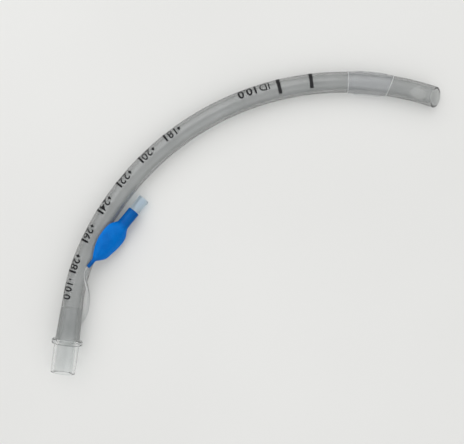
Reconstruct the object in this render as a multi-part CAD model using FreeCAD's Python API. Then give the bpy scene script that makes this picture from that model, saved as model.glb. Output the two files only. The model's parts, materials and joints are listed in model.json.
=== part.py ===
"""Cuffed endotracheal tube, nominal bore 10.0 mm, lying on a level surface.

All sizes are in millimetres. The tube is first made flat: its axis lies in the plane z = 0, it
starts at the machine end, heads along +Y and bends towards +X, which is its concave side. It is
then laid down as it comes to rest, on its connector collar, its bend and its cuff. The balloon
and its valve are made with the tail's end at their origin and their axis along +X, and are then
leant on the tube, with the tail up on it and the valve down on the surface.
"""
import FreeCAD, Part
import math
import os

Vector = FreeCAD.Vector

# Tube
tube_bore = 10.0
tube_wall = 1.5
straight_length = 24.5
first_bend_radius = 110.0
first_bend_angle = 13.0
main_bend_radius = 174.0
main_bend_angle = 87.3
tip_length = 7.5
flare_growth = 1.1
bevel_length = 8.2
tip_rounding = 0.4
eye_length = 10.5
eye_width = 7.4
eye_from_tip = 14.6

# Channel in the tube's wall that fills the cuff
channel_bore = 0.7
channel_depth = 0.75
channel_azimuth = 45.0
takeoff_from_end = 125.0
port_bore = 0.8

# Cuff
cuff_from_tip = 33.5
cuff_length = 26.8
cuff_collar_length = 3.2
cuff_collar_wall = 0.3
cuff_slope_length = 1.6
cuff_standoff = 0.7
cuff_film = 0.3
cuff_fold_radius = 0.55

# Connector with the 15 mm cone
cone_mouth_diameter = 15.1
cone_length = 18.0
cone_taper = 1 / 40
cone_chamfer = 0.4
socket_bore = 11.8
socket_length = 17.5
funnel_length = 4.0
spigot_bore = 8.8
spigot_length = 20.0
spigot_chamfer = 0.35
collar_diameter = 19.0
collar_thickness = 3.0
collar_rounding = 0.5

# Inflation line
line_diameter = 1.8
line_bore = 0.9
line_insertion = 4.0
tail_approach = 3.0
arc_share = 0.45

# Pilot balloon
balloon_wall = 0.45
tail_wall = 0.35
tail_length = 5.4
neck_wall = 0.95
neck_length = 10.3
neck_start = 34.6
# Distance from the tail's end, half width and half height of each section of the bulb
bulb_sections = (
    (7.6, 2.8, 1.5),
    (11.0, 5.0, 1.8),
    (15.0, 7.0, 2.0),
    (20.0, 8.3, 2.2),
    (25.0, 8.6, 2.4),
    (29.0, 7.8, 2.6),
    (32.0, 5.6, 3.1),
)
# Where the tail ends, from the machine end's centre as seen from above, and how the balloon leans
# from there, in degrees: its heading from +Y towards +X, its dip, and its roll, which lifts the
# edge that lies over the tube
tail_end_right = 7.30
tail_end_ahead = 46.76
tail_end_height = 14.55
balloon_heading = 30.6
balloon_dip = 11.4
balloon_roll = 40.0

# Inflation valve, measured inwards from its mouth
valve_exposed = 10.0
valve_barrel_diameter = 6.8
rim_diameter = 7.4
rim_length = 1.4
mouth_bore = 4.3
mouth_taper = 0.06
mouth_depth = 7.5
guide_bore = 2.4
seat_depth = 12.0
chamber_bore = 4.2
insert_diameter = 5.6
insert_length = 10.2
retainer_length = 1.4
retainer_bore = 1.6
stem_diameter = 1.9
stem_tip_depth = 6.2
flute_width = 0.5
flute_depth = 0.35
flute_count = 4
seat_gap = 0.02
seal_thickness = 0.55
seal_diameter = 3.6
disc_diameter = 3.5
disc_thickness = 0.8
pin_diameter = 1.5
pin_length = 2.0
spring_wire = 0.28
spring_mean_diameter = 2.3
spring_turns = 5

# The line's route from the tube's wall to the balloon's tail, measured from the machine end's
# centre as seen from above. The last two points follow from the tail.
line_route = (
    (32.24, 120.37, 2.46),
    (26.92, 114.72, 0.95),
    (22.14, 108.01, 0.90),
    (16.37, 98.85, 0.90),
    (10.81, 87.80, 0.90),
    (5.36, 76.12, 0.90),
    (1.09, 63.41, 0.90),
    (-2.59, 51.05, 0.90),
    (-4.92, 38.66, 0.90),
    (-6.30, 27.65, 0.90),
    (-7.10, 18.30, 0.90),
    (-7.45, 11.00, 0.90),
    (-3.65, 7.20, 0.90),
    (1.45, 7.20, 0.90),
    (5.60, 10.20, 0.95),
    (8.60, 16.50, 2.20),
    (9.40, 24.00, 6.50),
    (8.90, 31.50, 11.00),
    (6.90, 38.50, 14.20),
)

tube_radius = tube_bore / 2 + tube_wall
tail_radius = line_diameter / 2 + tail_wall
neck_radius = insert_diameter / 2 + neck_wall
tail_end = Vector(tail_end_right, tail_end_ahead, tail_end_height)
stretches = (
    (straight_length, 0.0),
    (first_bend_radius * math.radians(first_bend_angle), first_bend_radius),
    (main_bend_radius * math.radians(main_bend_angle), main_bend_radius),
    (tip_length, 0.0),
)
tube_length = sum(length for length, radius in stretches)
cuff_start = tube_length - cuff_from_tip - cuff_length


def heading_vector(degrees):
    """The level direction at this angle from +Y towards +X."""
    return Vector(math.sin(math.radians(degrees)), math.cos(math.radians(degrees)), 0)


def right_of(direction):
    """The level direction to the right of this one."""
    return Vector(direction.y, -direction.x, 0)


def station(distance):
    """Point and heading in degrees of the tube's axis at this distance from the machine end."""
    point, heading = Vector(0, 0, 0), 0.0
    for index, (length, radius) in enumerate(stretches):
        step = distance if index == len(stretches) - 1 else min(distance, length)
        forward = heading_vector(heading)
        if radius:
            turn = step / radius
            point = point + forward * (radius * math.sin(turn))
            point = point + right_of(forward) * (radius * (1 - math.cos(turn)))
            heading += math.degrees(turn)
        else:
            point = point + forward * step
        distance -= step
        if distance <= 0:
            break
    return point, heading


def disc(centre, direction, radius):
    """A round face."""
    return Part.Face(Part.Wire(Part.Circle(centre, direction, radius).toShape()))


def joined(solids):
    """Several touching or overlapping solids as one."""
    whole = solids[0]
    for solid in solids[1:]:
        whole = whole.fuse(solid)
    return whole.removeSplitter().Solids[0]


def rod_along(start, end, radius, side=0.0, up=0.0):
    """A round rod that follows the tube's axis between two distances from the machine end."""
    pieces, before = [], 0.0
    for length, bend in stretches:
        low, high = max(start, before), min(end, before + length)
        if high - low > 1e-6:
            point, heading = station(low)
            forward = heading_vector(heading)
            centre = point + right_of(forward) * side + Vector(0, 0, up)
            face = disc(centre, forward, radius)
            if bend:
                pivot = point + right_of(forward) * bend
                angle = math.degrees((high - low) / bend)
                pieces.append(face.revolve(pivot, Vector(0, 0, -1), angle))
            else:
                pieces.append(face.extrude(forward * (high - low)))
        before += length
    return joined(pieces)


def cone_along(start, end, start_radius, end_radius):
    """A short tapered rod between two distances along the tube's axis."""
    wires = []
    for distance, radius in ((start, start_radius), (end, end_radius)):
        point, heading = station(distance)
        circle = Part.Circle(point, heading_vector(heading), radius)
        wires.append(Part.Wire(circle.toShape()))
    return Part.makeLoft(wires, True, True)


def turned(profile, origin, axis, radial):
    """A solid of revolution from (radius, distance along the axis) pairs."""
    points = [origin + radial * radius + axis * distance for radius, distance in profile]
    face = Part.Face(Part.makePolygon(points + points[:1]))
    return face.revolve(origin, axis, 360)


def tube_body(radius):
    """The outside or the inside of the tube, with its flared machine end."""
    flare = Part.makeCone(
        radius + flare_growth, radius, straight_length, Vector(0, 0, 0), Vector(0, 1, 0)
    )
    return joined([flare, rod_along(straight_length, tube_length, radius)])


def bevel_cutter():
    """All that lies beyond the slanted cut across the tip."""
    point, heading = station(tube_length)
    forward, up = heading_vector(heading), Vector(0, 0, 1)
    slope = bevel_length / (2 * tube_radius)
    margin = 3 * tube_radius
    low = point - up * margin + forward * ((margin - tube_radius) * slope)
    high = point + up * margin - forward * ((margin + tube_radius) * slope)
    beyond = forward * (4 * margin)
    corners = [low, high, high + beyond, low + beyond, low]
    side = right_of(forward)
    face = Part.Face(Part.makePolygon([c - side * margin for c in corners]))
    normal = (high - low).cross(side).normalize()
    return face.extrude(side * (2 * margin)), low, normal


def eye_cutter():
    """The oval side opening near the tip, in the wall that faces the surface."""
    point, heading = station(tube_length - eye_from_tip)
    forward = heading_vector(heading)
    up = Vector(0, 0, 1)
    major = point + forward * (eye_length / 2)
    minor = point + right_of(forward) * (eye_width / 2)
    oval = Part.Ellipse(major, minor, point)
    face = Part.Face(Part.Wire(oval.toShape()))
    return face.extrude(up * (-2 * tube_radius))


def channel_cutter():
    """The channel in the wall, and the port by which it opens under the cuff's film."""
    radius = tube_radius - channel_depth
    azimuth = math.radians(channel_azimuth)
    side, up = -math.cos(azimuth), -math.sin(azimuth)
    port_at = cuff_start + cuff_length / 2
    channel = rod_along(
        takeoff_from_end, port_at + port_bore / 2, channel_bore / 2, side * radius, up * radius
    )
    point, heading = station(port_at)
    outwards = right_of(heading_vector(heading)) * side + Vector(0, 0, up)
    port = Part.makeCylinder(
        port_bore / 2, channel_depth + cuff_standoff / 2, point + outwards * radius, outwards
    )
    return [channel, port]


def tube_shaft():
    """The curved tube: flared machine end, bevelled tip, eye and channel."""
    shaft = tube_body(tube_radius).cut(tube_body(tube_bore / 2))
    cutter, on_plane, normal = bevel_cutter()
    shaft = shaft.cut(cutter)
    rim = [
        edge
        for edge in shaft.Edges
        if all(
            abs((edge.valueAt(p) - on_plane).dot(normal)) < 1e-4
            for p in (edge.FirstParameter, edge.LastParameter, sum(edge.ParameterRange) / 2)
        )
    ]
    shaft = shaft.makeFillet(tip_rounding, rim)
    for solid in [eye_cutter(), *channel_cutter()]:
        shaft = shaft.cut(solid)
    return shaft


def cuff():
    """The deflated cuff: two bonded collars and slack film between them, with one long fold."""
    collar_radius = tube_radius + cuff_collar_wall
    film_radius = tube_radius + cuff_standoff
    inner_radius = film_radius - cuff_film
    end = cuff_start + cuff_length
    slope_start = cuff_start + cuff_collar_length
    slope_end = end - cuff_collar_length
    film_start = slope_start + cuff_slope_length
    film_end = slope_end - cuff_slope_length
    outside = [
        rod_along(cuff_start, slope_start, collar_radius),
        cone_along(slope_start, film_start, collar_radius, film_radius),
        rod_along(film_start, film_end, film_radius),
        cone_along(film_end, slope_end, film_radius, collar_radius),
        rod_along(slope_end, end, collar_radius),
        rod_along(film_start, film_end, cuff_fold_radius, side=film_radius),
    ]
    sleeve = joined(outside)
    sleeve = sleeve.cut(rod_along(film_start, film_end, inner_radius))
    return sleeve.cut(rod_along(cuff_start, end, tube_radius))


def connector():
    """The moulded connector: 15 mm cone, collar, and a tapered spigot in the flared tube."""
    mouth = -(collar_thickness + cone_length)
    base_radius = (cone_mouth_diameter + cone_length * cone_taper) / 2
    root_radius = tube_bore / 2 + flare_growth
    shrink = flare_growth / straight_length
    tip_radius = root_radius - spigot_length * shrink
    shoulder_radius = root_radius - (spigot_length - spigot_chamfer) * shrink
    profile = (
        (spigot_bore / 2, spigot_length),
        (tip_radius - spigot_chamfer, spigot_length),
        (shoulder_radius, spigot_length - spigot_chamfer),
        (root_radius, 0),
        (collar_diameter / 2 - collar_rounding, 0),
        (collar_diameter / 2, -collar_rounding),
        (collar_diameter / 2, -collar_thickness + collar_rounding),
        (collar_diameter / 2 - collar_rounding, -collar_thickness),
        (base_radius, -collar_thickness),
        (cone_mouth_diameter / 2, mouth + cone_chamfer),
        (cone_mouth_diameter / 2 - cone_chamfer, mouth),
        (socket_bore / 2, mouth),
        (socket_bore / 2, mouth + socket_length),
        (spigot_bore / 2, mouth + socket_length + funnel_length),
    )
    return turned(profile, Vector(0, 0, 0), Vector(0, 1, 0), Vector(1, 0, 0))


def resting_turn():
    """Axis, angle and lift that lay the flat tube on its collar, its bend and its cuff.

    The plane that touches all three dips towards the outside of the bend. Its dip is found from
    how far each of the two lies from the collar in that direction.
    """
    collar = Vector(0, -collar_thickness / 2, 0)
    drop_at_bend = collar_diameter / 2 - tube_radius
    drop_at_cuff = drop_at_bend - cuff_standoff
    bend_start, bend_heading = station(straight_length + stretches[1][0])
    pivot = bend_start + right_of(heading_vector(bend_heading)) * main_bend_radius
    cuff_edge = station(cuff_start + cuff_collar_length + cuff_slope_length)[0]

    def reach(heading):
        outwards = right_of(heading_vector(heading)) * -1
        at_bend = (pivot - collar).dot(outwards) + main_bend_radius
        at_cuff = (cuff_edge - collar).dot(outwards)
        return at_bend, at_cuff

    low, high = bend_heading, 90.0
    while high - low > 1e-6:
        middle = (low + high) / 2
        at_bend, at_cuff = reach(middle)
        if at_cuff * drop_at_bend < at_bend * drop_at_cuff:
            low = middle
        else:
            high = middle
    angle = math.degrees(math.asin(drop_at_bend / reach(low)[0]))
    return heading_vector(low), angle


def laid_down(solid, lift):
    """The flat tube's piece in its resting place."""
    axis, angle = resting_turn()
    placed = solid.copy()
    placed.rotate(Vector(0, -collar_thickness / 2, 0), axis, -angle)
    placed.translate(Vector(0, 0, lift))
    return placed


def rounded_path(points):
    """Straight runs joined by tangent arcs, each as large as its two runs allow."""
    edges, radii, at = [], [], points[0]
    for before, corner, after in zip(points, points[1:], points[2:]):
        inwards = (corner - before).normalize()
        outwards = (after - corner).normalize()
        half_turn = inwards.getAngle(outwards) / 2
        reach = arc_share * min((corner - before).Length, (after - corner).Length)
        radius = reach / math.tan(half_turn)
        start, end = corner - inwards * reach, corner + outwards * reach
        bisector = (outwards - inwards).normalize()
        centre = corner + bisector * (radius / math.cos(half_turn))
        middle = centre - bisector * radius
        edges += [Part.LineSegment(at, start).toShape(), Part.Arc(start, middle, end).toShape()]
        radii.append(radius)
        at = end
    edges.append(Part.LineSegment(at, points[-1]).toShape())
    return edges, radii


def swept(edges, radius):
    """A round rod along straight and arc edges."""
    pieces = []
    for edge in edges:
        direction = edge.tangentAt(edge.FirstParameter)
        face = disc(edge.valueAt(edge.FirstParameter), direction, radius)
        if isinstance(edge.Curve, Part.Line):
            pieces.append(face.extrude(direction * edge.Length))
        else:
            arc = edge.Curve
            turn = math.degrees(edge.Length / arc.Radius)
            end = edge.valueAt(edge.LastParameter)
            normal = (edge.valueAt(edge.FirstParameter) - arc.Center).cross(end - arc.Center)
            pieces.append(face.revolve(arc.Center, normal.normalize(), turn))
    return joined(pieces)


def line_points():
    """The whole route, with the straight stretch into the balloon's tail."""
    dip = math.radians(balloon_dip)
    along = heading_vector(balloon_heading) * math.cos(dip) - Vector(0, 0, math.sin(dip))
    points = [Vector(*p) for p in line_route]
    return points + [tail_end - along * tail_approach, tail_end + along * line_insertion]


def inflation_line():
    """The soft line from the tube's wall to the balloon, with its outer solid and bend radii."""
    edges, radii = rounded_path(line_points())
    outside = swept(edges, line_diameter / 2)
    return outside.cut(swept(edges, line_bore / 2)), outside, edges, radii


def oval_wire(distance, half_width, half_height, inset):
    """An oval across the balloon's axis, inset all round by a wall. It starts on its wide side.

    The tail's and the neck's sections are true circles.
    """
    centre = Vector(distance, 0, 0)
    if half_width == half_height:
        circle = Part.Circle(centre, Vector(1, 0, 0), half_height - inset).toShape()
        start = circle.Vertexes[0].Point - centre
        circle.rotate(centre, Vector(1, 0, 0), -math.degrees(math.atan2(start.z, start.y)))
        return Part.Wire(circle)
    major = centre + Vector(0, half_width - inset, 0)
    minor = centre + Vector(0, 0, half_height - inset)
    return Part.Wire(Part.Ellipse(major, minor, centre).toShape())


def bulb(inset, tail, neck):
    """The bulb's outside or inside, between the tail and the neck."""
    rows = [(tail_length, tail_radius, tail_radius), *bulb_sections]
    rows.append((neck_start, neck_radius, neck_radius))
    wires = []
    for row, (distance, width, height) in enumerate(rows):
        wall = {0: tail_radius - tail, len(rows) - 1: neck_radius - neck}.get(row, inset)
        wires.append(oval_wire(distance, width, height, wall))
    return Part.makeLoft(wires, True, False)


def pilot_balloon():
    """The blow-moulded balloon: tail on the line, flattened bulb, and neck round the valve."""
    along = Vector(1, 0, 0)
    neck_at = Vector(neck_start, 0, 0)
    tail_at = Vector(0, 0, 0)
    outside = joined(
        [
            Part.makeCylinder(tail_radius, tail_length, tail_at, along),
            bulb(0.0, tail_radius, neck_radius),
            Part.makeCylinder(neck_radius, neck_length, neck_at, along),
        ]
    )
    inside = joined(
        [
            Part.makeCylinder(line_diameter / 2, tail_length, tail_at, along),
            bulb(balloon_wall, line_diameter / 2, insert_diameter / 2),
            Part.makeCylinder(insert_diameter / 2, neck_length, neck_at, along),
        ]
    )
    return outside.cut(inside)


def valve_turned(profile):
    """A turned valve piece from (radius, depth from the mouth) pairs."""
    mouth = Vector(neck_start + neck_length + valve_exposed, 0, 0)
    return turned(profile, mouth, Vector(-1, 0, 0), Vector(0, 0, 1))


def valve_housing():
    """The valve's body, with the tapered mouth for a syringe and the valve seat."""
    end = valve_exposed + insert_length
    seat_radius = mouth_bore / 2 - mouth_depth * mouth_taper / 2
    return valve_turned(
        (
            (mouth_bore / 2, 0),
            (rim_diameter / 2, 0),
            (rim_diameter / 2, rim_length),
            (valve_barrel_diameter / 2, rim_length),
            (valve_barrel_diameter / 2, valve_exposed),
            (insert_diameter / 2, valve_exposed),
            (insert_diameter / 2, end),
            (chamber_bore / 2, end),
            (chamber_bore / 2, seat_depth),
            (guide_bore / 2, seat_depth),
            (guide_bore / 2, mouth_depth),
            (seat_radius, mouth_depth),
        )
    )


def valve_retainer():
    """The ring that closes the valve's chamber and carries the spring."""
    end = valve_exposed + insert_length
    start = end - retainer_length
    return valve_turned(
        (
            (retainer_bore / 2, start),
            (chamber_bore / 2, start),
            (chamber_bore / 2, end),
            (retainer_bore / 2, end),
        )
    )


def disc_start():
    """Depth of the plunger's disc, behind the seat and the seal."""
    return seat_depth + seat_gap + seal_thickness


def valve_seal():
    """The soft washer between the plunger's disc and the seat."""
    return valve_turned(
        (
            (stem_diameter / 2, disc_start() - seal_thickness),
            (seal_diameter / 2, disc_start() - seal_thickness),
            (seal_diameter / 2, disc_start()),
            (stem_diameter / 2, disc_start()),
        )
    )


def valve_plunger():
    """The plunger: fluted stem, disc, and the pin inside the spring."""
    disc_end = disc_start() + disc_thickness
    plunger = valve_turned(
        (
            (0, stem_tip_depth),
            (stem_diameter / 2, stem_tip_depth),
            (stem_diameter / 2, disc_start()),
            (disc_diameter / 2, disc_start()),
            (disc_diameter / 2, disc_end),
            (pin_diameter / 2, disc_end),
            (pin_diameter / 2, disc_end + pin_length),
            (0, disc_end + pin_length),
        )
    )
    mouth = Vector(neck_start + neck_length + valve_exposed, 0, 0)
    flute = Part.makeBox(
        seat_depth - stem_tip_depth,
        flute_width,
        stem_diameter,
        Vector(-seat_depth, -flute_width / 2, stem_diameter / 2 - flute_depth),
    )
    for number in range(flute_count):
        turned_flute = flute.copy()
        turned_flute.rotate(Vector(0, 0, 0), Vector(1, 0, 0), number * 360 / flute_count)
        turned_flute.translate(mouth)
        plunger = plunger.cut(turned_flute)
    return plunger


def valve_spring():
    """The coil spring between the plunger's disc and the retainer."""
    start = disc_start() + disc_thickness + spring_wire / 2
    end = valve_exposed + insert_length - retainer_length - spring_wire / 2
    radius = spring_mean_diameter / 2
    pitch = (end - start) / spring_turns
    quarters = []
    for number in range(4 * spring_turns):
        quarter = Part.makeHelix(pitch, pitch / 4, radius)
        quarter.rotate(Vector(0, 0, 0), Vector(0, 0, 1), 90 * number)
        quarter.translate(Vector(0, 0, number * pitch / 4))
        quarters += quarter.Edges
    profile = Part.Wire(
        Part.Circle(Vector(radius, 0, 0), Vector(0, 1, 0), spring_wire / 2).toShape()
    )
    coil = Part.Wire(quarters).makePipeShell([profile], True, True)
    coil.rotate(Vector(0, 0, 0), Vector(0, 1, 0), -90)
    coil.translate(Vector(neck_start + neck_length + valve_exposed - start, 0, 0))
    return coil


def leant_on_tube(solid):
    """The balloon's or valve's piece in its place, leaning on the tube."""
    placed = solid.copy()
    placed.rotate(Vector(0, 0, 0), Vector(1, 0, 0), balloon_roll)
    placed.rotate(Vector(0, 0, 0), Vector(0, 1, 0), balloon_dip)
    placed.rotate(Vector(0, 0, 0), Vector(0, 0, 1), 90 - balloon_heading)
    placed.translate(tail_end)
    return placed


def model():
    """Every piece by name, resting on z = 0 with the tube's machine end above the origin."""
    line, line_outside, edges, radii = inflation_line()
    print("line bend radii", [round(r, 1) for r in radii])
    print("line length", round(sum(edge.Length for edge in edges), 1))
    section = math.pi * (line_diameter**2 - line_bore**2) / 4
    print("line volume over section", round(line.Volume / section, 1))
    flat_connector = connector()
    lift = -laid_down(flat_connector, 0).optimalBoundingBox().ZMin
    pieces = {
        "tube_shaft": laid_down(tube_shaft(), lift).cut(line_outside),
        "cuff": laid_down(cuff(), lift),
        "connector": laid_down(flat_connector, lift),
        "inflation_line": line,
        "pilot_balloon": leant_on_tube(pilot_balloon()),
        "valve_housing": leant_on_tube(valve_housing()),
        "valve_retainer": leant_on_tube(valve_retainer()),
        "valve_seal": leant_on_tube(valve_seal()),
        "valve_plunger": leant_on_tube(valve_plunger()),
        "valve_spring": leant_on_tube(valve_spring()),
    }
    return pieces


def main():
    pieces = model()
    boxes = [shape.optimalBoundingBox() for shape in pieces.values()]
    centre = Vector(
        (min(b.XMin for b in boxes) + max(b.XMax for b in boxes)) / 2,
        (min(b.YMin for b in boxes) + max(b.YMax for b in boxes)) / 2,
        0,
    )
    print("machine end from the origin", -centre, "lowest", min(b.ZMin for b in boxes))
    os.makedirs("parts", exist_ok=True)
    for name, shape in pieces.items():
        shape.translate(-centre)
        shape.exportStep(f"parts/{name}.step")
        print(name, len(shape.Solids), shape.isValid(), round(shape.Volume, 2))


main()
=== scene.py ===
import json
import math

import bmesh
import bpy
from mathutils import Matrix, Vector, noise


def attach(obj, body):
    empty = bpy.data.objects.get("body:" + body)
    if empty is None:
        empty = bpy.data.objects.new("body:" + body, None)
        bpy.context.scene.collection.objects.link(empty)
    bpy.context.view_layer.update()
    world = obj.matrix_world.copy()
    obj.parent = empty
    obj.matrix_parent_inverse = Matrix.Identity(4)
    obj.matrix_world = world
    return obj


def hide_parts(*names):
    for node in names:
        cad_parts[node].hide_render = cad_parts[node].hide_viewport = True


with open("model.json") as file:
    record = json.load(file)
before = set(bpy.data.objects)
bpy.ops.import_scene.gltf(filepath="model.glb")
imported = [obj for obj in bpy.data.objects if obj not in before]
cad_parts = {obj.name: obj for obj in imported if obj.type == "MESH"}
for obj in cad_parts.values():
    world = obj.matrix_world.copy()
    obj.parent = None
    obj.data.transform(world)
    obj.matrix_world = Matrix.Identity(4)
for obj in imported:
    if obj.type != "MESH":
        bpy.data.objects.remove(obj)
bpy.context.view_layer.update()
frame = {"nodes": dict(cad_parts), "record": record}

MM = 0.001
SHARPEST_SMOOTH = math.radians(50)

FLARE_LENGTH = 24.5
FIRST_BEND_RADIUS = 110.0
FIRST_BEND_ANGLE = 13.0
MAIN_BEND_RADIUS = 174.0
MAIN_BEND_ANGLE = 87.3
TIP_LENGTH = 7.5
# The tube's axis as it was made flat: the length and bend radius of each stretch, in mm
STRETCHES = (
    (FLARE_LENGTH, 0.0),
    (FIRST_BEND_RADIUS * math.radians(FIRST_BEND_ANGLE), FIRST_BEND_RADIUS),
    (MAIN_BEND_RADIUS * math.radians(MAIN_BEND_ANGLE), MAIN_BEND_RADIUS),
    (TIP_LENGTH, 0.0),
)
TUBE_LENGTH = sum(length for length, radius in STRETCHES)
TUBE_RADIUS = 6.5
FLARE_GROWTH = 1.1
# The tube lies turned by this much about a level axis, given by its heading from +Y towards +X
RESTING_HEADING = 56.35
RESTING_DIP = 1.95
MOUTH_TO_TUBE = 21.0
NO_DISTANCE = 1e-9

SOCKET = next(m for m in frame["record"]["mounts"] if m["name"] == "connector_socket")
MACHINE_END = Vector(SOCKET["pos_m"]) - Vector(SOCKET["axis"]) * (MOUTH_TO_TUBE * MM)
RESTING_TURN = Matrix.Rotation(
    math.radians(-RESTING_DIP),
    3,
    Vector((math.sin(math.radians(RESTING_HEADING)), math.cos(math.radians(RESTING_HEADING)), 0)),
)


def station(distance):
    """Centre, concave-side and upward directions of the tube at this distance in mm."""
    x, y, heading = 0.0, 0.0, 0.0
    for index, (length, radius) in enumerate(STRETCHES):
        last = index == len(STRETCHES) - 1
        step = distance if last or distance < 0 else min(distance, length)
        forward = (math.sin(heading), math.cos(heading))
        if radius:
            turn = step / radius
            along, aside = radius * math.sin(turn), radius * (1 - math.cos(turn))
            heading += turn
        else:
            along, aside = step, 0.0
        x += forward[0] * along + forward[1] * aside
        y += forward[1] * along - forward[0] * aside
        distance -= step
        if abs(distance) < NO_DISTANCE:
            break
    inner = RESTING_TURN @ Vector((math.cos(heading), -math.sin(heading), 0))
    up = RESTING_TURN @ Vector((0, 0, 1))
    centre = MACHINE_END + RESTING_TURN @ Vector((x, y, 0)) * MM
    return centre, inner, up


def outer_radius(distance):
    flare = max(0.0, 1 - distance / FLARE_LENGTH)
    return TUBE_RADIUS + FLARE_GROWTH * flare


def on_tube(distance, angle, radius):
    """A point round the tube. The angle is in radians from the top towards the concave side."""
    centre, inner, up = station(distance)
    return centre + (inner * math.sin(angle) + up * math.cos(angle)) * (radius * MM)


def in_frame(x, y, z):
    """A point given from the machine end's centre as seen from above, in mm."""
    return Vector((MACHINE_END.x + x * MM, MACHINE_END.y + y * MM, z * MM))


def link(obj):
    bpy.context.scene.collection.objects.link(obj)
    return obj


def mesh_object(name, bm, smooth=True):
    mesh = bpy.data.meshes.new(name)
    bmesh.ops.recalc_face_normals(bm, faces=bm.faces)
    for edge in bm.edges:
        edge.smooth = len(edge.link_faces) == 2 and edge.calc_face_angle() < SHARPEST_SMOOTH
    bm.to_mesh(mesh)
    bm.free()
    for face in mesh.polygons:
        face.use_smooth = smooth
    return link(bpy.data.objects.new(name, mesh))


# Camera, straight above the tube as in the photo

PHOTO_WIDTH = 464
PHOTO_TURN = 7.8
PHOTO_CENTRE = (91.56, 86.39)
PIXELS_PER_MM = 1.602
CAMERA_HEIGHT = 575.0
AXIS_HEIGHT = 8.0
SENSOR_WIDTH = 36


def make_camera():
    data = bpy.data.cameras.new("camera")
    data.sensor_width = SENSOR_WIDTH
    data.lens = SENSOR_WIDTH * CAMERA_HEIGHT / (PHOTO_WIDTH / PIXELS_PER_MM)
    data.clip_start, data.clip_end = 0.01, 20
    camera = link(bpy.data.objects.new("camera", data))
    camera.location = in_frame(*PHOTO_CENTRE, AXIS_HEIGHT + CAMERA_HEIGHT)
    camera.rotation_euler = (0, 0, math.radians(PHOTO_TURN))
    bpy.context.scene.camera = camera


make_camera()


# Inflation line

LINE_DIAMETER = 1.8
LINE_ROUTE = (
    (32.24, 120.37, 2.46),
    (26.92, 114.72, 0.95),
    (22.14, 108.01, 0.90),
    (16.37, 98.85, 0.90),
    (10.81, 87.80, 0.90),
    (5.36, 76.12, 0.90),
    (1.09, 63.41, 0.90),
    (-2.59, 51.05, 0.90),
    (-4.92, 38.66, 0.90),
    (-6.30, 27.65, 0.90),
    (-7.10, 18.30, 0.90),
    (-7.45, 11.00, 0.90),
    (-3.65, 7.20, 0.90),
    (1.45, 7.20, 0.90),
    (5.60, 10.20, 0.95),
    (8.60, 16.50, 2.20),
    (9.40, 24.00, 6.50),
    (8.90, 31.50, 11.00),
    (6.90, 38.50, 14.20),
)
TAIL_END = Vector((7.30, 46.76, 14.55))
# How the balloon leans from there, in degrees: heading from +Y towards +X, dip, and roll
BALLOON_HEADING = 30.6
BALLOON_DIP = 11.4
BALLOON_ROLL = 40.0
BALLOON_TURN = (
    Matrix.Rotation(math.radians(90 - BALLOON_HEADING), 3, "Z")
    @ Matrix.Rotation(math.radians(BALLOON_DIP), 3, "Y")
    @ Matrix.Rotation(math.radians(BALLOON_ROLL), 3, "X")
)
LINE_INSERTION = 4.0
TAIL_APPROACH = 3.0


def on_balloon(along, aside, upwards):
    """A point in the balloon's own directions, in mm from the tail's end."""
    return in_frame(*(TAIL_END + BALLOON_TURN @ Vector((along, aside, upwards))))


def make_line():
    points = [in_frame(*p) for p in LINE_ROUTE]
    points += [on_balloon(-TAIL_APPROACH, 0, 0), on_balloon(LINE_INSERTION, 0, 0)]
    curve = bpy.data.curves.new("clear_line", "CURVE")
    curve.dimensions = "3D"
    curve.bevel_depth = 1.0
    curve.bevel_resolution = 6
    curve.resolution_u = 12
    curve.use_fill_caps = True
    spline = curve.splines.new("NURBS")
    spline.points.add(len(points) - 1)
    for control, point in zip(spline.points, points):
        control.co = (*point, 1)
        control.radius = LINE_DIAMETER / 2 * MM
    spline.order_u = 3
    spline.use_endpoint_u = True
    line = link(bpy.data.objects.new("clear_line", curve))
    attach(line, "tube")
    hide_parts("inflation_line")
    return line


clear_line = make_line()


# Cuff

CUFF_FROM_TIP = 33.5
CUFF_LENGTH = 26.8
CUFF_START = TUBE_LENGTH - CUFF_FROM_TIP - CUFF_LENGTH
COLLAR_LENGTH = 3.2
COLLAR_WALL = 0.28
COLLAR_SLANT = 1.5
SLOPE_LENGTH = 2.2
FILM_WALL = 0.1
FILM_LIFT = 0.2
FILM_GAP = 0.02
# Rows of faces at either end that look milky, where the film is bonded
EDGE_ROWS = 1
CUFF_SIDES = 168
CUFF_ROWS = 76
# Lengthwise folds of the slack film: degrees from the top towards the concave side, height, width
FILM_FOLDS = (
    (93, 0.95, 0.9),
    (38, 0.26, 0.7),
    (-24, 0.20, 0.6),
    (-71, 0.42, 0.8),
    (-128, 0.28, 0.9),
    (160, 0.30, 0.8),
)
FOLD_WANDER = 0.12
FOLD_SWELL = 0.4
CREASE_HEIGHT = 0.09
PUCKER_HEIGHT = 0.07
PUCKER_COUNT = 28
PUCKER_LENGTH = 2
LEAST_LIFT = 0.04


def smoothstep(share):
    share = max(0.0, min(1.0, share))
    return share * share * (3 - 2 * share)


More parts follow.
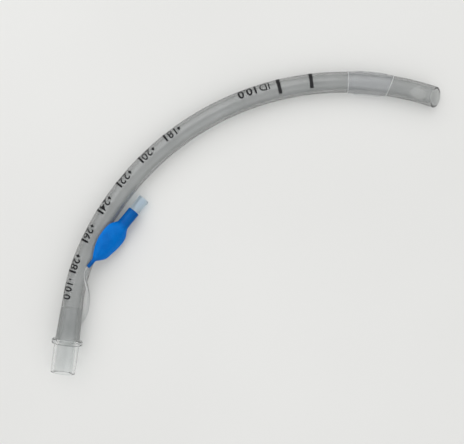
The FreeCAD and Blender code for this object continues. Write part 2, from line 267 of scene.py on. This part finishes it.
def film_height(along, angle):
    """How far the slack film stands off the wall: wandering folds, creases and puckers."""
    lift = FILM_LIFT
    for number, (centre, height, width) in enumerate(FILM_FOLDS):
        wander = FOLD_WANDER * noise.noise(Vector((number * 7.3, along * 0.13, 0)))
        swell = 1 + FOLD_SWELL * noise.noise(Vector((number * 3.1, along * 0.2, 5)))
        turn = math.remainder(angle - math.radians(centre) - wander, 2 * math.pi)
        lift += height * swell * math.exp(-((turn * TUBE_RADIUS / width) ** 2))
    round_place = Vector((math.sin(angle), math.cos(angle), along * 0.07))
    lift += CREASE_HEIGHT * noise.noise(round_place * 5)
    from_collar = min(along, CUFF_LENGTH - along) - COLLAR_LENGTH
    pucker = math.sin(PUCKER_COUNT * angle + 4 * noise.noise(round_place * 3))
    lift += PUCKER_HEIGHT * pucker * math.exp(-abs(from_collar - SLOPE_LENGTH) / PUCKER_LENGTH)
    return max(lift, LEAST_LIFT)


def cuff_point(along, angle, skin):
    """A point on the film's outer (1) or inner (0) skin. The tip's collar ends on a slant."""
    slack = smoothstep((min(along, CUFF_LENGTH - along) - COLLAR_LENGTH) / SLOPE_LENGTH)
    wall = COLLAR_WALL + (FILM_WALL - COLLAR_WALL) * slack
    radius = TUBE_RADIUS + FILM_GAP + slack * film_height(along, angle) + skin * wall
    slant = COLLAR_SLANT * (along / CUFF_LENGTH) ** 4 * math.sin(angle)
    return on_tube(CUFF_START + along - slant, angle, radius)


def skin_mesh(name, rings):
    """A mesh over rings of points, closed round each ring and from the last ring to the first."""
    bm = bmesh.new()
    rows = [[bm.verts.new(point) for point in ring] for ring in rings]
    for near, far in zip(rows, rows[1:] + rows[:1]):
        for index, point in enumerate(near):
            after = (index + 1) % len(near)
            bm.faces.new((point, near[after], far[after], far[index]))
    return mesh_object(name, bm)


def spread(start, end, count):
    return [start + (end - start) * step / (count - 1) for step in range(count)]


def all_round(count):
    return [2 * math.pi * step / count for step in range(count)]


def make_cuff():
    angles = all_round(CUFF_SIDES)
    places = spread(0, CUFF_LENGTH, CUFF_ROWS)
    rings = [[cuff_point(along, angle, 1) for angle in angles] for along in places]
    rings += [[cuff_point(along, angle, 0) for angle in angles] for along in reversed(places)]
    piece = skin_mesh("creased_cuff", rings)
    for number, face in enumerate(piece.data.polygons):
        row = number // CUFF_SIDES
        at_tip = CUFF_ROWS - 2 - EDGE_ROWS < row < CUFF_ROWS
        face.material_index = int(row < EDGE_ROWS or at_tip)
    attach(piece, "tube")
    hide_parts("cuff")
    return piece


creased_cuff = make_cuff()


# Pilot balloon

# Distance from the tail's end, half width and half height of each section
BALLOON_SECTIONS = (
    (0.0, 1.25, 1.25),
    (5.4, 1.25, 1.25),
    (7.6, 2.8, 1.5),
    (11.0, 5.0, 1.8),
    (15.0, 7.0, 2.0),
    (20.0, 8.3, 2.2),
    (25.0, 8.6, 2.4),
    (29.0, 7.8, 2.6),
    (32.0, 5.6, 3.1),
    (34.6, 3.75, 3.75),
    (44.9, 3.75, 3.75),
)
BALLOON_LENGTH = BALLOON_SECTIONS[-1][0]
TAIL_LENGTH = BALLOON_SECTIONS[1][0]
NECK_START = BALLOON_SECTIONS[-2][0]
BULB_WALL = 0.45
TAIL_BORE = LINE_DIAMETER / 2 + 0.03
NECK_BORE = 2.83
BALLOON_SIDES = 160
BULB_EASE = 3
SEAM_HEIGHT = 0.12
SEAM_WIDTH = 0.22
SEAM_SHARE_AT_ENDS = 0.35
DENT_DEPTH = 0.25
GATHER_DEPTH = 0.12
GATHER_COUNT = 9
GATHER_FROM_NECK = 1.5
GATHER_LENGTH = 2.2
# A swelling on the side away from the tube: how far it stands out, its place and its length
SHOULDER = 1.3
SHOULDER_AT = 11
SHOULDER_LENGTH = 3.5
LEDGE_HEIGHT = 0.1
LEDGE_LENGTH = 1.2
LEDGE_RISE = 0.5
LEDGE_FALL = 0.4
LIP_HEIGHT = 0.1
LIP_FROM_END = 0.55
LIP_LENGTH = 0.45
RIM_ROUNDING = 0.18
RIM_ROUNDING_LENGTH = 0.25
TAIL_ROUNDING = 0.15
TAIL_ROUNDING_LENGTH = 0.3


def eased(rows, place):
    """Values between rows of (place, value, ...), on smooth curves that don't overshoot."""
    steps = [
        [(b - a) / (after[0] - before[0]) for a, b in zip(before[1:], after[1:])]
        for before, after in zip(rows, rows[1:])
    ]
    index = max(i for i in range(len(rows) - 1) if rows[i][0] <= place or i == 0)
    width = rows[index + 1][0] - rows[index][0]
    share = (place - rows[index][0]) / width
    values = []
    for column in range(len(rows[0]) - 1):
        slopes = []
        for corner in (index, index + 1):
            near = steps[max(corner - 1, 0)][column]
            far = steps[min(corner, len(steps) - 1)][column]
            slopes.append(2 * near * far / (near + far) if near * far > 0 else 0.0)
        start, end = rows[index][column + 1], rows[index + 1][column + 1]
        values.append(
            start
            + (end - start) * smoothstep(share)
            + width * share * (1 - share) * (slopes[0] * (1 - share) - slopes[1] * share)
        )
    return values


def balloon_point(place, angle, inside):
    """A point on the balloon. Angle 0 is the edge over the tube, and a quarter turn is its top."""
    wide, tall = eased(BALLOON_SECTIONS, place)
    in_bulb = smoothstep((place - TAIL_LENGTH) / BULB_EASE)
    in_bulb *= smoothstep((NECK_START - place) / BULB_EASE)
    if inside:
        wall = wide - TAIL_BORE if place < TAIL_LENGTH + 1 else BULB_WALL
        wall = wide - NECK_BORE if place > NECK_START - 1 else wall
        wide, tall = wide - wall, tall - wall
    else:
        swell = math.exp(-(((place - SHOULDER_AT) / SHOULDER_LENGTH) ** 2))
        wide += SHOULDER * max(0.0, -math.cos(angle)) * swell
        seam = math.exp(-((tall * math.sin(angle) / SEAM_WIDTH) ** 2))
        wide += seam * SEAM_HEIGHT * (SEAM_SHARE_AT_ENDS + (1 - SEAM_SHARE_AT_ENDS) * in_bulb)
        round_place = Vector((math.cos(angle), math.sin(angle), place * 0.11))
        dent = 0.5 + noise.noise(round_place * 1.7)
        gathers = math.cos(GATHER_COUNT * angle + 5 * noise.noise(round_place * 2))
        near_neck = math.exp(-(((place - NECK_START + GATHER_FROM_NECK) / GATHER_LENGTH) ** 2))
        tall -= DENT_DEPTH * max(dent, 0.0) * in_bulb
        tall -= GATHER_DEPTH * near_neck * (1 + gathers) / 2
        ledge = smoothstep((place - NECK_START) / LEDGE_RISE)
        ledge -= smoothstep((place - NECK_START - LEDGE_LENGTH) / LEDGE_FALL)
        to_end = BALLOON_LENGTH - place
        lip = math.exp(-(((LIP_FROM_END - to_end) / LIP_LENGTH) ** 2))
        at_rim = smoothstep((RIM_ROUNDING_LENGTH - to_end) / RIM_ROUNDING_LENGTH)
        at_tail = smoothstep((TAIL_ROUNDING_LENGTH - place) / TAIL_ROUNDING_LENGTH)
        rim = LEDGE_HEIGHT * ledge + LIP_HEIGHT * lip
        rim -= RIM_ROUNDING * at_rim + TAIL_ROUNDING * at_tail
        wide, tall = wide + rim, tall + rim
    return on_balloon(place, wide * math.cos(angle), tall * math.sin(angle))


def make_balloon():
    angles = all_round(BALLOON_SIDES)
    places = spread(0, 0.6, 4) + spread(1.0, BALLOON_LENGTH - 1.6, 110)
    places += spread(BALLOON_LENGTH - 1.4, BALLOON_LENGTH, 15)
    rings = [[balloon_point(place, angle, False) for angle in angles] for place in places]
    inner = spread(0, BALLOON_LENGTH, 60)
    rings += [[balloon_point(place, angle, True) for angle in angles] for place in reversed(inner)]
    piece = skin_mesh("seamed_balloon", rings)
    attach(piece, "tube")
    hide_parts("pilot_balloon")
    return piece


seamed_balloon = make_balloon()


# Materials

def new_material(name):
    material = bpy.data.materials.new(name)
    material.use_nodes = True
    tree = material.node_tree
    tree.nodes.clear()
    output = tree.nodes.new("ShaderNodeOutputMaterial")
    shader = tree.nodes.new("ShaderNodeBsdfPrincipled")
    tree.links.new(shader.outputs["BSDF"], output.inputs["Surface"])
    return material, tree, shader, output


def noise_node(tree, scale, detail):
    place = tree.nodes.new("ShaderNodeTexCoord")
    texture = tree.nodes.new("ShaderNodeTexNoise")
    texture.inputs["Scale"].default_value = scale
    texture.inputs["Detail"].default_value = detail
    tree.links.new(place.outputs["Object"], texture.inputs["Vector"])
    return texture


def ramp_node(tree, source, low, high, start=0.3, end=0.7):
    ramp = tree.nodes.new("ShaderNodeValToRGB")
    ramp.color_ramp.elements[0].position = start
    ramp.color_ramp.elements[0].color = low
    ramp.color_ramp.elements[1].position = end
    ramp.color_ramp.elements[1].color = high
    tree.links.new(source, ramp.inputs["Fac"])
    return ramp


def range_node(tree, source, low, high):
    between = tree.nodes.new("ShaderNodeMapRange")
    between.inputs["To Min"].default_value = low
    between.inputs["To Max"].default_value = high
    tree.links.new(source, between.inputs["Value"])
    return between


def bump_node(tree, source, distance, strength):
    bump = tree.nodes.new("ShaderNodeBump")
    bump.inputs["Distance"].default_value = distance
    bump.inputs["Strength"].default_value = strength
    tree.links.new(source, bump.inputs["Height"])
    return bump


def let_lamps_through(tree, shader, output, tint):
    """Lamp light passes straight through the clear plastic, weakened by a tint."""
    path = tree.nodes.new("ShaderNodeLightPath")
    clear = tree.nodes.new("ShaderNodeBsdfTransparent")
    clear.inputs["Color"].default_value = tint
    mix = tree.nodes.new("ShaderNodeMixShader")
    tree.links.new(path.outputs["Is Shadow Ray"], mix.inputs["Fac"])
    tree.links.new(shader.outputs["BSDF"], mix.inputs[1])
    tree.links.new(clear.outputs["BSDF"], mix.inputs[2])
    tree.links.new(mix.outputs["Shader"], output.inputs["Surface"])


CLOUD_SCALE = 60
SMEAR_SCALE = 250
GRAIN_SCALE = 1500


def clear_material(
    name, low, high, tint, roughness=(0.08, 0.2), clarity=1.0, ior=1.45, density=0.0
):
    """Clear plastic with a faint smoky variation. The less its clarity, the milkier it is.

    Its density is how fast it darkens what is seen through it, per metre.
    """
    material, tree, shader, output = new_material(name)
    cloud = noise_node(tree, CLOUD_SCALE, 3)
    ramp = ramp_node(tree, cloud.outputs["Fac"], (*low, 1), (*high, 1))
    tree.links.new(ramp.outputs["Color"], shader.inputs["Base Color"])
    smear = noise_node(tree, SMEAR_SCALE, 2)
    polish = range_node(tree, smear.outputs["Fac"], *roughness)
    tree.links.new(polish.outputs["Result"], shader.inputs["Roughness"])
    shader.inputs["Transmission Weight"].default_value = clarity
    shader.inputs["IOR"].default_value = ior
    bump = bump_node(tree, smear.outputs["Fac"], 6e-6, 0.4)
    tree.links.new(bump.outputs["Normal"], shader.inputs["Normal"])
    let_lamps_through(tree, shader, output, (*tint, 1))
    inside = tree.nodes.new("ShaderNodeVolumeAbsorption")
    inside.inputs["Color"].default_value = (0.0, 0.0, 0.0, 1)
    inside.inputs["Density"].default_value = density
    tree.links.new(inside.outputs["Volume"], output.inputs["Volume"])
    return material


def moulded_material(name, low, high, roughness=(0.25, 0.4), metallic=0.0, specular=0.5):
    """Opaque moulded plastic, rubber or metal with fine grain."""
    material, tree, shader, _ = new_material(name)
    cloud = noise_node(tree, GRAIN_SCALE / 8, 3)
    ramp = ramp_node(tree, cloud.outputs["Fac"], (*low, 1), (*high, 1))
    ramp.name = "colour"
    tree.links.new(ramp.outputs["Color"], shader.inputs["Base Color"])
    shader.name = "shader"
    grain = noise_node(tree, GRAIN_SCALE, 2)
    polish = range_node(tree, grain.outputs["Fac"], *roughness)
    tree.links.new(polish.outputs["Result"], shader.inputs["Roughness"])
    shader.inputs["Metallic"].default_value = metallic
    shader.inputs["Specular IOR Level"].default_value = specular
    bump = bump_node(tree, grain.outputs["Fac"], 1e-5, 0.3)
    tree.links.new(bump.outputs["Normal"], shader.inputs["Normal"])
    return material


def darken_ends(material, bands):
    """Darkens the balloon's colour towards its tail and over its neck, by distance from its tail's
    end in mm.
    """
    tree = material.node_tree
    place = tree.nodes.new("ShaderNodeTexCoord")
    along = tree.nodes.new("ShaderNodeVectorMath")
    along.operation = "DOT_PRODUCT"
    along.inputs[1].default_value = BALLOON_TURN @ Vector((1, 0, 0))
    tree.links.new(place.outputs["Object"], along.inputs[0])
    start = in_frame(*TAIL_END).dot(BALLOON_TURN @ Vector((1, 0, 0)))
    distance = tree.nodes.new("ShaderNodeMapRange")
    distance.inputs["From Min"].default_value = start
    distance.inputs["From Max"].default_value = start + BALLOON_LENGTH * MM
    tree.links.new(along.outputs["Value"], distance.inputs["Value"])
    shade = tree.nodes.new("ShaderNodeValToRGB")
    elements = shade.color_ramp.elements
    for at, _ in bands[2:]:
        elements.new(at / BALLOON_LENGTH)
    for element, (at, level) in zip(elements, bands):
        element.position = at / BALLOON_LENGTH
        element.color = (level, level, level, 1)
    tree.links.new(distance.outputs["Result"], shade.inputs["Fac"])
    darker = tree.nodes.new("ShaderNodeVectorMath")
    darker.operation = "MULTIPLY"
    tree.links.new(tree.nodes["colour"].outputs["Color"], darker.inputs[0])
    tree.links.new(shade.outputs["Color"], darker.inputs[1])
    tree.links.new(darker.outputs["Vector"], tree.nodes["shader"].inputs["Base Color"])


clear_pvc = clear_material(
    "clear_pvc",
    (0.80, 0.815, 0.81),
    (0.86, 0.87, 0.865),
    (0.92, 0.93, 0.93),
    roughness=(0.17, 0.26),
    clarity=0.9,
    ior=1.5,
    density=165.0,
)
line_pvc = clear_material("line_pvc", (0.86, 0.87, 0.88), (0.92, 0.93, 0.93), (0.95, 0.95, 0.96))
cuff_film = clear_material("cuff_film", (0.93, 0.94, 0.95), (0.97, 0.97, 0.98), (0.97, 0.97, 0.98))
bonded_film = clear_material(
    "bonded_film",
    (0.90, 0.91, 0.91),
    (0.95, 0.95, 0.95),
    (0.90, 0.91, 0.91),
    roughness=(0.25, 0.4),
    clarity=0.6,
)
connector_plastic = clear_material(
    "connector_plastic", (0.88, 0.89, 0.89), (0.93, 0.94, 0.94), (0.93, 0.94, 0.94), (0.06, 0.14)
)
valve_plastic = clear_material(
    "valve_plastic",
    (0.62, 0.70, 0.76),
    (0.70, 0.77, 0.82),
    (0.78, 0.84, 0.88),
    roughness=(0.25, 0.4),
    clarity=0.85,
)
blue_pvc = moulded_material(
    "blue_pvc", (0.0, 0.135, 0.52), (0.0, 0.17, 0.60), (0.2, 0.34), specular=0.08
)
plunger_plastic = moulded_material("plunger_plastic", (0.78, 0.79, 0.8), (0.86, 0.87, 0.87))
seal_rubber = moulded_material("seal_rubber", (0.03, 0.03, 0.03), (0.05, 0.05, 0.05), (0.5, 0.7))
spring_steel = moulded_material(
    "spring_steel", (0.5, 0.5, 0.5), (0.62, 0.62, 0.6), (0.2, 0.35), metallic=1.0
)
ink = moulded_material(
    "ink", (0.006, 0.006, 0.007), (0.02, 0.02, 0.022), (0.5, 0.7), specular=0.2
)

darken_ends(blue_pvc, ((3.0, 0.55), (8.0, 1.0), (31.0, 1.0), (35.0, 0.68), (44.0, 0.6)))

NODE_MATERIALS = {
    "tube_shaft": clear_pvc,
    "connector": connector_plastic,
    "valve_housing": valve_plastic,
    "valve_retainer": valve_plastic,
    "valve_plunger": plunger_plastic,
    "valve_seal": seal_rubber,
    "valve_spring": spring_steel,
}
for node, material in NODE_MATERIALS.items():
    mesh = frame["nodes"][node].data
    mesh.materials.clear()
    mesh.materials.append(material)
clear_line.data.materials.append(line_pvc)
creased_cuff.data.materials.append(cuff_film)
creased_cuff.data.materials.append(bonded_film)
seamed_balloon.data.materials.append(blue_pvc)


# Ink on the tube

INK_THICKNESS = 0.04
INK_SINK = 0.01
BEND_STEP = 0.4
CAPITAL_SHARE = 0.73
SAME_POINT = 1e-4


def sliced(bm, size_x, size_y):
    """Cuts a flat piece of print into strips, so that it can follow the tube."""
    for axis, size in ((0, size_x), (1, size_y)):
        count = int(size / BEND_STEP) + 1
        for number in range(-count, count + 1):
            spot, normal = [0, 0, 0], [0, 0, 0]
            spot[axis], normal[axis] = number * BEND_STEP, 1
            whole = bm.verts[:] + bm.edges[:] + bm.faces[:]
            bmesh.ops.bisect_plane(bm, geom=whole, plane_co=spot, plane_no=normal)


def wrapped(bm, distance, angle):
    """Bends flat print round the tube. Its x runs towards the machine end, its y to the top."""
    for vert in bm.verts:
        place = distance - vert.co.x
        radius = outer_radius(place)
        turn = angle + vert.co.y / radius
        vert.co = on_tube(place, turn, radius - INK_SINK + vert.co.z)


def thickened(bm):
    """Turns flat print in the plane z = 0 into a closed plate."""
    made = bmesh.ops.extrude_face_region(bm, geom=bm.faces[:])
    top = [v for v in made["geom"] if isinstance(v, bmesh.types.BMVert)]
    for vert in top:
        vert.co.z += INK_THICKNESS


def glyphs(body, height, width_share, weight):
    """Flat print of a few characters, centred, with capitals of this height in mm."""
    curve = bpy.data.curves.new("glyphs", "FONT")
    curve.body = body
    curve.align_x, curve.align_y = "CENTER", "CENTER"
    curve.size = height / CAPITAL_SHARE
    curve.offset = weight
    curve.resolution_u = 4
    holder = link(bpy.data.objects.new("glyphs", curve))
    bpy.context.view_layer.update()
    mesh = bpy.data.meshes.new_from_object(
        holder.evaluated_get(bpy.context.evaluated_depsgraph_get())
    )
    bm = bmesh.new()
    bm.from_mesh(mesh)
    bpy.data.objects.remove(holder)
    bpy.data.curves.remove(curve)
    bpy.data.meshes.remove(mesh)
    bmesh.ops.remove_doubles(bm, verts=bm.verts, dist=SAME_POINT)
    low = Vector([min(v.co[i] for v in bm.verts) for i in range(3)])
    high = Vector([max(v.co[i] for v in bm.verts) for i in range(3)])
    middle = (low + high) / 2
    for vert in bm.verts:
        vert.co = vert.co - middle
        vert.co.x *= width_share
    return bm


def flat_shape(points):
    bm = bmesh.new()
    bm.faces.new([bm.verts.new((x, y, 0)) for x, y in points])
    return bm


def bar(width, height):
    return flat_shape(
        (
            (-width / 2, -height / 2),
            (width / 2, -height / 2),
            (width / 2, height / 2),
            (-width / 2, height / 2),
        )
    )


def diamond(width, height):
    return flat_shape(((-width / 2, 0), (0, -height / 2), (width / 2, 0), (0, height / 2)))


def extent(bm):
    return max(abs(v.co.x) for v in bm.verts), max(abs(v.co.y) for v in bm.verts)


def print_marks(name, marks):
    """One piece of ink from (flat print, distance, angle) triples."""
    whole = bmesh.new()
    for flat, distance, angle in marks:
        sliced(flat, *extent(flat))
        thickened(flat)
        wrapped(flat, distance, angle)
        part = bpy.data.meshes.new("part")
        flat.to_mesh(part)
        flat.free()
        whole.from_mesh(part)
        bpy.data.meshes.remove(part)
    piece = mesh_object(name, whole, smooth=False)
    piece.data.materials.append(ink)
    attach(piece, "tube")


def angle_at(offset):
    """The angle round the tube of a sideways offset in mm as seen from above."""
    return math.asin(max(-1.0, min(1.0, offset / TUBE_RADIUS)))


# Centimetres from the tip
DEPTH_NUMBERS = (28, 26, 24, 22, 20, 18)
MM_PER_CM = 10
DEPTH_BAR = (1.25, 8.2)
BAR_ANGLE = angle_at(-4.5)
DIGIT_HEIGHT = 6.0
DIGIT_WIDTH = 0.88
DIGIT_WEIGHT = 0.1
DIGIT_ANGLE = angle_at(-3.5)
BAR_TO_DIGITS = 4.9
DIAMOND = (2.1, 3.6)
DIAMOND_ANGLE = angle_at(-3.4)
BAR_TO_DIAMOND = 10
# The characters, their width and weight, and their distance from the machine end
BORE_MARKS = (
    ("10.0", 0.80, 0.14, 30.0),
    ("10.0", 0.92, 0.22, 199.2),
    ("ID", 0.85, 0.02, 210.3),
)
DASH = (0.8, 2.2)
DASH_AT = 37.2
POSITION_BAR = (2.2, 12.2)
POSITION_BAR_ANGLE = angle_at(-2.4)
POSITION_BARS_FROM_TIP = (103.0, 83.0)


def make_depth_marks():
    numbers, bars, dots = [], [], []
    for number in DEPTH_NUMBERS:
        at = TUBE_LENGTH - number * MM_PER_CM
        digits = glyphs(str(number), DIGIT_HEIGHT, DIGIT_WIDTH, DIGIT_WEIGHT)
        numbers.append((digits, at + BAR_TO_DIGITS, DIGIT_ANGLE))
        bars.append((bar(*DEPTH_BAR), at, BAR_ANGLE))
        dots.append((diamond(*DIAMOND), at + BAR_TO_DIAMOND, DIAMOND_ANGLE))
    print_marks("depth_numbers", numbers)
    print_marks("depth_bars", bars)
    print_marks("depth_dots", dots)


def make_bore_marks():
    marks = [
        (glyphs(body, DIGIT_HEIGHT, width, weight), at, DIGIT_ANGLE)
        for body, width, weight, at in BORE_MARKS
    ]
    marks.append((bar(*DASH), DASH_AT, DIGIT_ANGLE))
    print_marks("bore_marks", marks)


def make_position_bars():
    marks = [
        (bar(*POSITION_BAR), TUBE_LENGTH - from_tip, POSITION_BAR_ANGLE)
        for from_tip in POSITION_BARS_FROM_TIP
    ]
    print_marks("position_bars", marks)


make_depth_marks()
make_bore_marks()
make_position_bars()


# Floor, lamps and world

FLOOR_HALF_SIDE = 3
FLOOR_DROP = 0.00005
FLOOR_LOW = (0.70, 0.70, 0.685, 1)
FLOOR_HIGH = (0.74, 0.74, 0.725, 1)
LAMP_SIDE = 1.1
# Name, place and power of each lamp
LAMPS = (
    ("key_lamp", (-0.45, 0.55, 0.9), 6.0),
    ("fill_lamp", (0.7, -0.35, 0.8), 2.8),
)
SKY_HORIZON = (0.12, 0.12, 0.12, 1)
SKY_TOP = (1.0, 1.0, 1.0, 1)
SKY_STRENGTH = 0.8
BACKDROP = (0.76, 0.76, 0.75, 1)


def make_floor():
    bm = bmesh.new()
    bmesh.ops.create_grid(bm, x_segments=1, y_segments=1, size=FLOOR_HALF_SIDE)
    floor = mesh_object("floor", bm, smooth=False)
    floor.location.z = -FLOOR_DROP
    material, tree, shader, _ = new_material("floor")
    cloud = noise_node(tree, 3, 3)
    ramp = ramp_node(tree, cloud.outputs["Fac"], FLOOR_LOW, FLOOR_HIGH)
    tree.links.new(ramp.outputs["Color"], shader.inputs["Base Color"])
    shader.inputs["Roughness"].default_value = 0.8
    floor.data.materials.append(material)


def make_lamp(name, place, power):
    """A soft lamp that points at the origin."""
    data = bpy.data.lights.new(name, "AREA")
    data.shape = "RECTANGLE"
    data.size, data.size_y = LAMP_SIDE, LAMP_SIDE
    data.energy = power
    lamp = link(bpy.data.objects.new(name, data))
    lamp.location = place
    lamp.rotation_euler = (-Vector(place)).to_track_quat("-Z", "Y").to_euler()
    lamp.visible_transmission = False


def make_world():
    """A soft sky that is dark near the horizon, and a pale backdrop for the camera.

    The dark horizon draws thin dark edges on clear plastic.
    """
    world = bpy.data.worlds.new("world")
    bpy.context.scene.world = world
    world.use_nodes = True
    tree = world.node_tree
    direction = tree.nodes.new("ShaderNodeTexCoord")
    parts = tree.nodes.new("ShaderNodeSeparateXYZ")
    tree.links.new(direction.outputs["Generated"], parts.inputs["Vector"])
    sky = ramp_node(tree, parts.outputs["Z"], SKY_HORIZON, SKY_TOP, start=0.15, end=0.6)
    background = tree.nodes["Background"]
    tree.links.new(sky.outputs["Color"], background.inputs["Color"])
    background.inputs["Strength"].default_value = SKY_STRENGTH
    backdrop = tree.nodes.new("ShaderNodeBackground")
    backdrop.inputs["Color"].default_value = BACKDROP
    path = tree.nodes.new("ShaderNodeLightPath")
    mix = tree.nodes.new("ShaderNodeMixShader")
    tree.links.new(path.outputs["Is Camera Ray"], mix.inputs["Fac"])
    tree.links.new(background.outputs["Background"], mix.inputs[1])
    tree.links.new(backdrop.outputs["Background"], mix.inputs[2])
    tree.links.new(mix.outputs["Shader"], tree.nodes["World Output"].inputs["Surface"])


make_floor()
for lamp_name, lamp_place, lamp_power in LAMPS:
    make_lamp(lamp_name, lamp_place, lamp_power)
make_world()

bpy.context.scene.view_settings.view_transform = "Standard"
